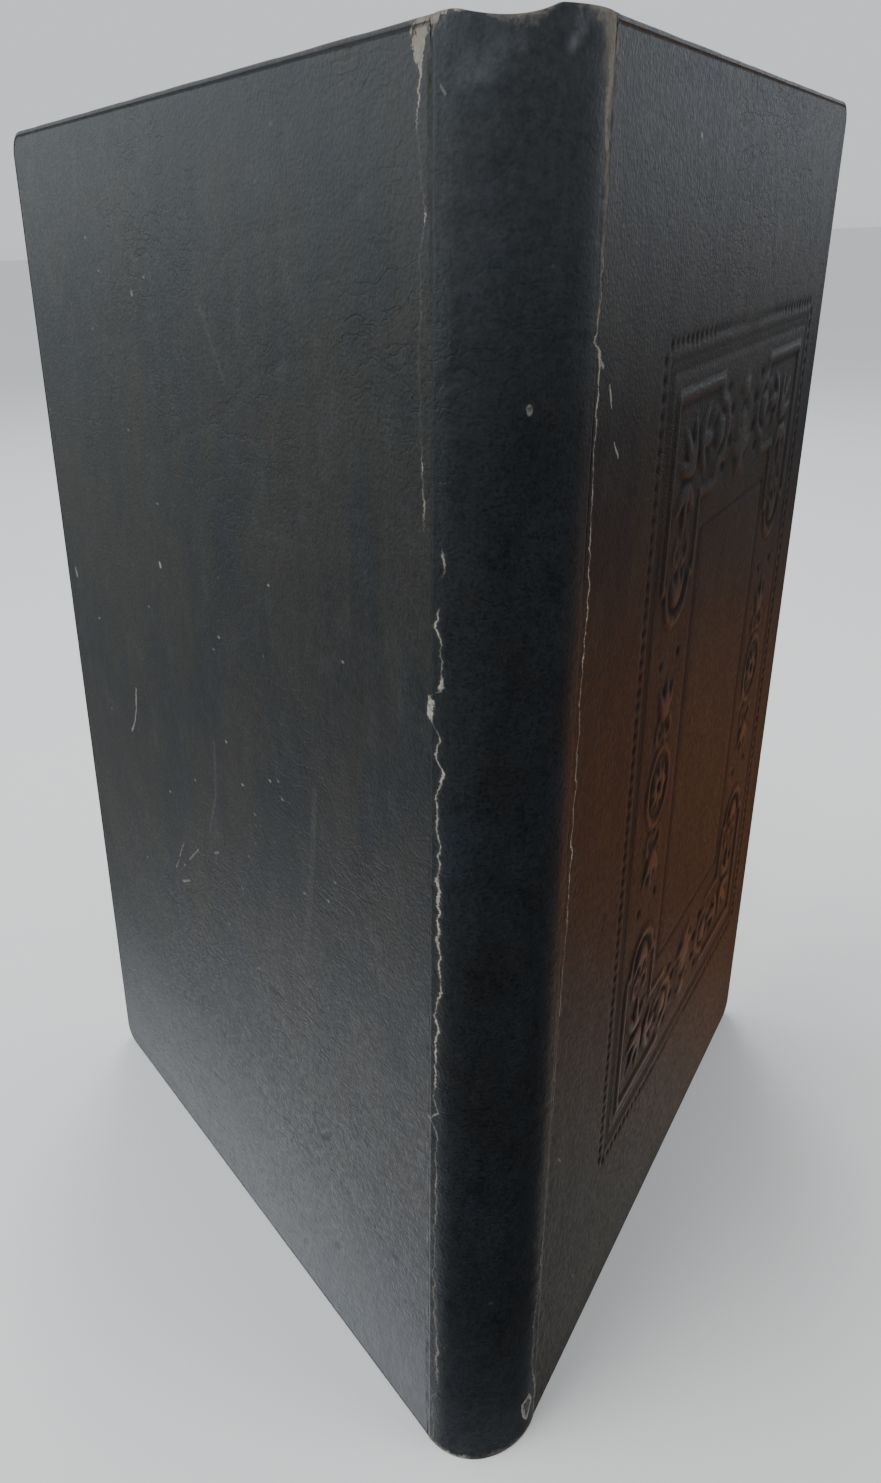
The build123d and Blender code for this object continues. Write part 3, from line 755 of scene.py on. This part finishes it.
leather_front = leather("leather_front", SCRATCHES_AND_HIGHLIGHT["front"], 0.6, 0.31)
front_leather = cover_leather(front, front_u, front_v, leather_front, "front_leather")
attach(front_leather, "front_cover")
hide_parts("front_leather")

back_u = steps(
    (HINGE_GAP, 0),
    (5 * MM, EDGE_STEP),
    (back.width - CORNER_RADIUS, 1.05 * MM),
    (back.width - EDGE_ROUND, EDGE_STEP),
)
back_v = steps(
    (EDGE_ROUND - end_v, 0),
    (CORNER_RADIUS - end_v, EDGE_STEP),
    (end_v - CORNER_RADIUS, 1.05 * MM),
    (end_v - EDGE_ROUND, EDGE_STEP),
)
leather_back = leather("leather_back", SCRATCHES_AND_HIGHLIGHT["back"], 0.7)
back_leather = cover_leather(back, back_u, back_v, leather_back)
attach(back_leather, "back_cover")
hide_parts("back_leather")


# Leather of the spine, with its caps

def spine_top(x):
    """Height of the worn top edge across the spine."""
    dip = 1 - ((x - CAP_DIP_PLACE) / CAP_DIP_HALF) ** 2
    return HEIGHT - CAP_DIP * np.clip(dip, 0, 1)


def spine_dents(shares, arc, height):
    """How far the leather of the spine stands out of the round, swollen and creased."""
    fade = smooth(height, 0.5 * MM, 6 * MM) * smooth(shares, 0, 0.06) * smooth(1 - shares, 0, 0.06)
    dent = 0.11 * MM * lattice(arc, height, 16 * MM, 30 * MM, 41)
    dent += 0.05 * MM * lattice(arc, height, 9 * MM, 3.4 * MM, 42)
    high = smooth(height, 190 * MM, 300 * MM)
    dent += 0.05 * MM * high * lattice(arc, height, 14 * MM, 2.1 * MM, 43)
    dent -= 0.16 * MM * marks(arc, height, CRACKS["spine"])
    dent -= 0.14 * MM * marks(arc, height, CREASES["spine"])
    return (dent - 0.14 * MM) * fade


def spine_profile(cap, round_top):
    """Depth and height of the skin's rows, from the tail's turn-in round to the head's.

    Heights count from the tail, along the side, or down from the worn top edge.
    """
    profile = [(cap, TURN_IN, "tail"), (cap, 0.5 * MM, "tail"), (cap - 0.5 * MM, 0, "tail")]
    profile += [(0.5 * MM, 0, "tail"), (0.12 * MM, 0.15 * MM, "tail"), (0, 0.5 * MM, "tail")]
    profile += [(0, z, "side") for z in np.arange(1.4 * MM, HEIGHT - 3 * MM, 0.85 * MM)]
    for angle in np.radians((0, 18, 36, 54, 72, 90)):
        across, down = round_top * (1 - math.cos(angle)), round_top * (1 - math.sin(angle))
        profile.append((across, -down, "head"))
    profile += [(cap - 0.3 * MM, 0, "head"), (cap, -0.4 * MM, "head"), (cap, -TURN_IN, "head")]
    return profile + [(SPINE_LEATHER, -TURN_IN, "head"), (SPINE_LEATHER, TURN_IN, "tail")]


def spine_wear(arc, height, below):
    """Fields of the spine: torn along both joints, rubbed at the caps and the right edge."""
    left, right, share = arc / MM, (SPINE_LENGTH - arc) / MM, arc / SPINE_LENGTH
    level = height / MM
    worn_head = np.interp(share, (0, 0.06, 0.12, 0.18, 0.9, 1), (2.4, 1.6, 0.7, 0, 0, 0.6))
    tail_shares = (0, 0.08, 0.16, 0.3, 0.36, 0.9, 1)
    worn_tail = np.interp(share, tail_shares, (1.2, 1.0, 2.6, 2.4, 0.2, 0.4, 1.2))
    tail_fresh = np.interp(share, (0, 0.3, 0.4, 1), (0.9, 0.9, 0.2, 0.4))
    at_left, at_right = tear(back, -left, height), tear(front, -right, height)
    tears = {name: [at_left[name], at_right[name]] for name in at_left}
    tears["joint"] += [-1.2 * below, -1.2 * level]
    tears["open"] += [worn_head, worn_tail]
    tears["torn"] += [smooth(worn_head, 0, 0.5), smooth(worn_tail, 0.2, 0.8)]
    tears["fresh"] += [np.full(len(arc), 0.5), tail_fresh]
    nearest = np.argmax(np.stack(tears["open"]) - np.abs(np.stack(tears["joint"])), axis=0)
    point = np.arange(len(arc))
    tears = {name: np.stack(values)[nearest, point] for name, values in tears.items()}
    head_rub = np.interp(
        share,
        (0, 0.06, 0.14, 0.22, 0.34, 0.42, 0.5, 0.6, 0.68, 0.78, 0.88, 1),
        (1.0, 0.8, 0.4, 0.35, 0.8, 0.9, 0.75, 0.45, 0.6, 0.95, 1.1, 1.2),
    )
    rub = head_rub * (1 - smooth(below, -0.6, 1.0 + 2.2 * head_rub))
    rub = np.maximum(rub, 0.7 - 0.7 * smooth(level, 0, 4))
    width = np.interp(level, (288, 300, 318, 328, 340), (0.8, 1.8, 3.4, 5.8, 10.0))
    strength = (0.55 + 0.35 * smooth(level, 300, 335)) * smooth(level, 286, 300)
    rub = np.maximum(rub, strength * (1 - smooth(right, 0.2 * width, width)))
    return {"rub": rub, **tears}


def spine_skin():
    """The rounded leather of the spine, over its caps and down behind them."""
    shares = np.linspace(0, 1, 84)
    arc = shares * SPINE_LENGTH
    top = spine_top(spine_point(shares, 0)[0])
    round_top = 0.8 * MM
    profile = spine_profile(SPINE_LEATHER + CAP_TURN_IN, round_top)
    points, surface = [], []
    for depth, z, kind in profile:
        x, y, angle = spine_point(shares, depth)
        height = {
            "tail": np.full(len(shares), z),
            "side": z * (top - round_top) / (HEIGHT - round_top),
            "head": top + z,
        }[kind]
        dent = spine_dents(shares, arc, height) if depth < 0.3 * MM else 0
        points.append(np.stack([x + np.sin(angle) * dent, y - np.cos(angle) * dent, height], -1))
        surface.append(np.stack([arc, height + depth * (kind != "side")], -1))
    points, surface = np.concatenate(points), np.concatenate(surface)
    arc, height = surface[:, 0], points[:, 2]
    flat = np.zeros(len(points))
    fields = {
        "relief": flat,
        "hollow": flat,
        "crack": marks(arc, height, CRACKS["spine"]),
        **spine_wear(arc, height, (spine_top(points[:, 0]) - height) / MM),
        # Painted sheen with some dust, by height, and the pale smudges at the head
        "dust": np.interp(height / MM, *SHEEN_AND_DUST_BY_HEIGHT["spine"]) + 0.75 * marks(arc, height, SMUDGES),
        "nicks": np.full(len(points), 0.38),
    }
    # The spine's colours are paler than the boards' as painted sheen
    material = leather("leather_spine", SCRATCHES_AND_HIGHLIGHT["spine"], 0.25, 0.7, NAVY, DULL)
    faces = tube(len(profile), len(shares))
    return build("spine_skin", points, faces, material, surface, fields)


spine = spine_skin()
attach(spine, "book_block")
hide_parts("spine_leather")


# Leather bridging each joint

def joint_bridge(cover, material):
    """A narrow strip from the spine's leather to the cover's, just under both faces."""
    levels = np.append(np.arange(0.6 * MM, HEIGHT - 1.2 * MM, 1.1 * MM), HEIGHT - 0.3 * MM)
    share, inward = (1.0, -0.022) if cover.side > 0 else (0.0, 0.022)
    tuck = 0.09 * MM
    lap = 0.9 * MM
    within = np.array(spine_point(share + inward, tuck)[:2])
    start = np.array(spine_point(share, tuck)[:2])
    end = cover.place(HINGE_GAP, 0, -tuck)[:2]
    beyond = cover.place(HINGE_GAP + lap, 0, -tuck)[:2]
    plan = [within, start, (start + end) / 2, end, beyond]
    points = []
    for z in levels:
        sink = 0.12 * MM * lattice(z, 0.0, 2.3 * MM, 1, 61 + cover.side)
        for k, place in enumerate(plan):
            points.append((*(place - cover.w[:2] * (sink if k == 2 else 0.0)), z))
    heights = np.repeat(levels, len(plan))
    across = np.tile((-0.8, 0.0, 0.0, 0.0, 0.9), len(levels))
    unworn = ("relief", "hollow", "crack", "rub", "nicks", "dust")
    fields = dict.fromkeys(unworn, np.zeros(len(heights))) | tear(cover, across, heights)
    surface = np.stack([across * MM, heights], -1)
    faces = quads(numbered(len(levels), len(plan)), cover.side < 0)
    piece = build(f"{cover.name}_joint_leather", points, faces, material, surface, fields)
    start, end = (*map(float, start), 0), (*map(float, end), 0)
    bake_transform(piece)


joint_bridge(front, leather_front)
joint_bridge(back, leather_back)


# Paper

PAPER = (0.56, 0.445, 0.29)
PAPER_LIGHT = (0.68, 0.575, 0.41)
PAPER_DARK = (0.30, 0.20, 0.105)
GREY_DUST = (0.16, 0.125, 0.09)


def endpaper(name, cover=None):
    """Toned endpaper: laid lines, foxing and edges browned by the leather beside them."""
    sh = Shader(name)
    across, up = sh.part(sh.fine, 1), sh.part(sh.fine, 2)
    if cover:
        offset = sh.vector("SUBTRACT", sh.fine, tuple(cover.hinge))
        across = sh.vector("DOT_PRODUCT", offset, tuple(cover.u))
    cloud = sh.noise(sh.fine, 60, 4, 0.6)
    fibre = sh.noise(sh.fine, 1.4, 4, 0.6)
    color = sh.mix(cloud.band(0.35, 0.68), PAPER_LIGHT, PAPER)
    color = sh.mix(fibre * 0.35, color, PAPER_DARK)
    spots = sh.cells(sh.warp(sh.fine, 10, 6), 21).band(0, 0.13, 1, 0)
    some = sh.noise(sh.fine, 50, 2, 0.5).band(0.5, 0.62)
    color = sh.mix(spots * some * 0.5, color, PAPER_DARK)
    edge = (210 * MM - across).least(up.least(HEIGHT - up))
    edge = edge + sh.noise(sh.fine, 12, 3, 0.6) * (12 * MM)
    color = sh.mix(edge.band(10 * MM, 32 * MM, 0.62, 0), color, PAPER_DARK)
    normal = sh.bumps((fibre, 0.35, 0.12), (up.wave(1.1), 0.12, 0.04))
    return sh.finish(color, fibre.band(0.2, 0.8, 0.82, 0.95), normal, 0.3)


def paper_hinge(cover, material):
    """The fold of the endpaper in the gutter, from flyleaf to pastedown."""
    levels = np.linspace(SQUARE + 0.2 * MM, HEIGHT - SQUARE - 0.2 * MM, 60)
    above = 0.03 * MM
    lap = 5 * MM
    leaf_low, leaf_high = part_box(f"{cover.name}_flyleaf")
    leaf_x = (leaf_high.x if cover.side > 0 else leaf_low.x) + cover.side * above
    inside = -(COVER_THICK + PASTEDOWN + above)
    before = np.array((leaf_x, leaf_low.y + lap))
    start = np.array((leaf_x, leaf_low.y + 0.3 * MM))
    end = cover.place(HINGE_GAP + 0.2 * MM, 0, inside)[:2]
    beyond = cover.place(HINGE_GAP + lap, 0, inside)[:2]
    sag = (start + end) / 2 + np.array((0, -0.25 * MM))
    plan = [before, start, (start + sag) / 2, sag, (end + sag) / 2, end, beyond]
    points = [(*place, z) for z in levels for place in plan]
    surface = [(k * MM, z) for z in levels for k in range(len(plan))]
    faces = quads(numbered(len(levels), len(plan)), cover.side > 0)
    piece = build(f"{cover.name}_paper_hinge", points, faces, material, surface)
    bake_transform(piece)


def dress(node, material):
    """Give a solid of the part a material."""
    materials = frame["nodes"][node].data.materials
    materials.clear()
    materials.append(material)


for cover in (front, back):
    leaf_paper = endpaper(f"endpaper_{cover.name}_leaf")
    dress(f"{cover.name}_pastedown", endpaper(f"endpaper_{cover.name}_board", cover))
    dress(f"{cover.name}_flyleaf", leaf_paper)
    paper_hinge(cover, leaf_paper)


def page_edges():
    """Edges of the leaves: one fine line to a leaf, browned and dusty."""
    sh = Shader("page_edges")
    place = sh.surface()
    leaves = sh.noise(sh.stretch(place, 1, 0.012, 1), 0.28, 3, 0.75)
    groups = sh.noise(sh.stretch(place, 1, 0.008, 1), 1.6, 2, 0.6)
    cloud = sh.noise(sh.fine, 30, 4, 0.6)
    color = sh.mix(leaves.band(0.36, 0.62), PAPER_DARK, PAPER_LIGHT)
    color = sh.mix(groups.band(0.4, 0.6) * 0.4, color, PAPER)
    color = sh.mix(cloud.band(0.42, 0.72, 0, 0.5), color, PAPER_DARK)
    dust = sh.field("dust") * sh.noise(sh.fine, 8, 3, 0.6).band(0.2, 0.8)
    color = sh.mix(dust, color, GREY_DUST)
    normal = sh.bumps((leaves, 0.7, 0.22), (groups, 0.4, 0.2))
    return sh.finish(color, leaves.band(0.3, 0.7, 0.95, 0.8), normal, 0.25)


def text_block():
    """The leaves with their uneven edges, shoulders at the back and hollow fore edge."""
    low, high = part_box("text_block")
    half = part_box("front_flyleaf")[0].x
    hollow = 4.6 * MM
    uneven = 0.1 * MM
    leaves = 150
    sections = 12
    t = np.linspace(0, 1, leaves)
    across = 2 * half * t
    x_flat = across - half
    back_x, back_y, _ = spine_point(t, BLOCK_DEPTH)
    bow = 1 - ((x_flat - SPINE_LEAN / 2) / half) ** 2
    fore_y = high.y - hollow * np.clip(bow, 0, 1)
    jitter = np.random.RandomState(5).uniform(-1, 1, leaves) * uneven
    jitter -= smooth(np.abs((t * sections) % 1 - 0.5), 0.42, 0.5) * 0.25 * MM
    out = np.abs(2 * t - 1) ** 3
    flare_y = 7 * MM * (1 - out) + 0.1 * MM * out
    shares = np.concatenate([[0, 0.004, 0.01, 0.02, 0.035], np.linspace(0.055, 1, 26)])
    points, surface, dust, faces = [], [], [], []

    def plan(share):
        """Points across the leaves, at a share of the way from the back to the fore edge."""
        y = back_y + (fore_y - back_y) * share
        pull = smooth((flare_y - y) / (flare_y - back_y), 0, 1)
        return x_flat * (1 - pull) + back_x * pull, y

    def add(x, y, z, over, along, dusty):
        """One row of points, with its surface coordinates and dust."""
        points.append(np.stack(np.broadcast_arrays(x, y, z), -1))
        surface.append(np.stack(np.broadcast_arrays(over, along), -1))
        dust.append(np.full(len(points[-1]), dusty))

    def join(rows, columns, flip=False):
        """Faces between the last rows of points."""
        start = sum(map(len, points)) - rows * columns
        faces.extend(quads(numbered(rows, columns, start), flip))

    for z, sign, seed, dusty in ((low.z, -1, 71, 0.4), (high.z, 1, 72, 0.75)):
        for share in shares:
            x, y = plan(share)
            y = y + jitter * smooth(share, 0.97, 1)
            height = 0.08 * MM * lattice(t * 40, y, 1, 50 * MM, seed) - uneven
            add(x, y, z + sign * height, across, y, dusty)
        join(len(shares), leaves, sign < 0)
    levels = np.linspace(0, 1, 90)
    x, y = plan(1.0)
    for share in levels:
        z = (low.z + uneven) * (1 - share) + (high.z - uneven) * share
        wave = 0.07 * MM * lattice(t * 60, share * 9, 1, 1, 73)
        wave *= min(1, share * 30, (1 - share) * 30)
        add(x, y + jitter + wave, z, across, z, 0.45)
    join(len(levels), leaves, True)
    outline = np.array([plan(share) for share in shares])
    for column, flip in ((0, False), (-1, True)):
        x, y = outline[:, :, column].T
        for z in (low.z, high.z):
            add(x, y, z, y, z, 0.0)
        join(2, len(shares), flip)
    x, y = plan(0.0)
    for z in (low.z, high.z):
        add(x, y, z, across, z, 0.0)
    join(2, leaves)
    fields = {"dust": np.concatenate(dust)}
    piece = build("leaf_block", points, faces, page_edges(), surface, fields)
    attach(piece, "book_block")
    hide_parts("text_block")


text_block()


# Headbands: thread wound over a core, in two faded colours

def thread_material():
    sh = Shader("headband_thread")
    place = sh.surface()
    stripe = sh.part(place, 0).wave(3.2)
    twist = sh.noise(sh.stretch(place, 1, 0.3, 1), 0.4, 2, 0.6)
    color = sh.mix(stripe.band(-0.15, 0.15), (0.40, 0.30, 0.18), (0.17, 0.055, 0.035))
    dirt = sh.noise(sh.fine, 4, 3, 0.6).band(0.4, 0.75, 0, 0.6)
    color = sh.mix(dirt, color, (0.12, 0.09, 0.065))
    return sh.finish(color, twist.band(0, 1, 0.7, 0.9), sh.bumps((twist, 0.6, 0.1)))


thread = thread_material()


def headband(name, base, direction):
    """A wound band along the back of the leaves, standing behind the cap."""
    shares = np.linspace(0.03, 0.97, 220)
    arc = shares * SPINE_LENGTH
    wound = 1 + 0.07 * np.sin(arc / (0.4 * MM) * math.pi)
    ring = 12
    points, surface = [], []
    for turn in np.arange(ring) * 2 * math.pi / ring:
        depth = BLOCK_DEPTH + HEADBAND_DEPTH / 2 * (1 + 0.97 * math.cos(turn) * wound)
        height = HEADBAND_HEIGHT / 2 * (1 + 0.94 * math.sin(turn) * wound)
        x, y, _ = spine_point(shares, depth)
        points.append(np.stack([x, y, base + direction * height], -1))
        surface.append(np.stack([arc, np.full(len(arc), turn * MM)], -1))
    faces = tube(ring, len(shares), direction < 0)
    piece = build(f"{name}_thread", points, faces, thread, surface)
    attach(piece, "book_block")
    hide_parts(name)


headband("headband", HEIGHT - SQUARE, 1)
headband("tailband", SQUARE, -1)


# Solids that stay: boards, tapes, slips and lining

def plain(name, dark, light, size, weave=0.0):
    """Rough stock that shows only at edges: board, tape and lining."""
    sh = Shader(name)
    fibre = sh.noise(sh.fine, size, 4, 0.65)
    cloud = sh.noise(sh.fine, size * 14, 3, 0.6)
    color = sh.mix(fibre.band(0.3, 0.7), dark, light)
    color = sh.mix(cloud.band(0.4, 0.75, 0, 0.5), color, dark)
    layers = [(fibre, 0.6, size * 0.2)]
    if weave:
        layers.append((sh.part(sh.fine, 2).wave(weave), 0.5, weave * 0.2))
    return sh.finish(color, fibre.band(0, 1, 0.85, 0.98), sh.bumps(*layers), 0.25)


board_stock = plain("pasteboard", (0.13, 0.095, 0.06), (0.33, 0.25, 0.16), 1.6)
linen = plain("linen_tape", (0.26, 0.2, 0.13), (0.5, 0.42, 0.3), 0.9, 0.7)
lining_stock = plain("spine_lining_paper", (0.2, 0.14, 0.08), (0.42, 0.32, 0.2), 2)
for side in ("front", "back"):
    dress(f"{side}_board", board_stock)
    dress(f"{side}_tape_slips", linen)
dress("sewing_tapes", linen)
dress("spine_lining", lining_stock)


# Floor, light and camera

def floor_material():
    sh = Shader("pale_floor")
    soft = sh.noise(sh.fine, 300, 2, 0.5)
    return sh.finish(sh.mix(soft, (0.80, 0.80, 0.80), (0.84, 0.84, 0.835)), 0.7, specular=0.3)


corners = [(-30, -30, 0), (30, -30, 0), (30, 30, 0), (-30, 30, 0)]
floor = build("floor", corners, [(0, 1, 2, 3)], floor_material())
floor.visible_glossy = False


def area_light(name, place, target, size, power, color):
    light = bpy.data.lights.new(name, "AREA")
    light.shape = "DISK"
    light.size = size
    light.energy = power
    light.color = color
    lamp = bpy.data.objects.new(name, light)
    bpy.context.scene.collection.objects.link(lamp)
    lamp.location = place
    lamp.rotation_euler = (Vector(target) - Vector(place)).to_track_quat("-Z", "Y").to_euler()
    lamp.visible_camera = False
    lamp.visible_glossy = False


area_light("key", (-0.7, -0.2, 1.3), (0.0, 0.15, 0.1), 0.7, 13, (0.98, 0.99, 1.0))
area_light("fill", (0.9, -0.5, 1.1), (0.05, 0.15, 0.1), 0.7, 6, (1.0, 0.99, 0.97))
area_light("rear", (0.3, 1.6, 1.4), (0.0, 0.2, 0.1), 0.8, 12, (0.96, 0.98, 1.0))

# The studio round the book as soft glows: (azimuth, elevation, inner and outer radius, all in
# degrees, and colour)
GLOWS = (
    (0, 90, 89, 98, (0.36, 0.37, 0.385)),
    (0, 58, 10, 44, (0.55, 0.57, 0.59)),
    (12, 6, 22, 46, (0.38, 0.385, 0.39)),
    (-62, 17, 8, 36, (1.6, 1.8, 1.85)),
    (-44, -54, 6, 26, (2.1, 2.2, 2.35)),
    (-52, -27, 8, 34, (0.48, 0.5, 0.49)),
    (57, 16, 5, 20, (0.78, 0.86, 0.97)),
    (55, -14, 5, 22, (0.05, 0.05, 0.045)),
    (55, -27, 4, 17, (0.6, 0.175, 0.01)),
    (48, -47, 4, 16, (0.76, 0.75, 0.69)),
    (-125, 10, 10, 50, (0.5, 0.53, 0.56)),
)
AMBIENT = (0.05, 0.052, 0.056)


def heading(azimuth, elevation):
    """The direction with an azimuth from the y axis and an elevation, both in radians."""
    level = math.cos(elevation)
    return math.sin(azimuth) * level, math.cos(azimuth) * level, math.sin(elevation)


world = bpy.data.worlds.new("studio")
bpy.context.scene.world = world
world.use_nodes = True
studio = Nodes(world.node_tree)
toward = studio.out("TexCoord", "Generated")
total = AMBIENT
for azimuth, elevation, inner, outer, color in GLOWS:
    middle = heading(math.radians(azimuth), math.radians(elevation))
    fade = studio.vector("DOT_PRODUCT", toward, middle)
    fade = fade.band(math.cos(math.radians(outer)), math.cos(math.radians(inner)))
    total = studio.vector("MULTIPLY_ADD", color, fade, total)
studio.wire(world.node_tree.nodes["Background"].inputs["Color"], total)

# The camera's place and lens, from fitting the book's corners in the photograph
PHOTO_WIDTH, PHOTO_HEIGHT = 881, 1483
FOCAL_PIXELS = 1135.12
CENTRE_X, CENTRE_Y = 330.34, 749.84
CAMERA_PLACE = Vector((-0.0693, -0.2045, 0.3086))
PITCH, YAW, ROLL = (math.radians(a) for a in (24.403, 9.252, 2.125))

forward = Vector(heading(YAW, -PITCH))
level_right = Vector((math.cos(YAW), -math.sin(YAW), 0))
level_down = forward.cross(level_right)
right = math.cos(ROLL) * level_right + math.sin(ROLL) * level_down
down = math.cos(ROLL) * level_down - math.sin(ROLL) * level_right
camera_data = bpy.data.cameras.new("camera")
camera_data.sensor_width = 36
camera_data.lens = FOCAL_PIXELS * camera_data.sensor_width / PHOTO_HEIGHT
camera_data.shift_x = (PHOTO_WIDTH / 2 - CENTRE_X) / PHOTO_HEIGHT
camera_data.shift_y = (CENTRE_Y - PHOTO_HEIGHT / 2) / PHOTO_HEIGHT
camera_data.clip_start = 0.01
camera = bpy.data.objects.new("camera", camera_data)
bpy.context.scene.collection.objects.link(camera)
turned = Matrix((right, -down, -forward)).transposed().to_4x4()
camera.matrix_world = Matrix.Translation(CAMERA_PLACE) @ turned
bpy.context.scene.camera = camera
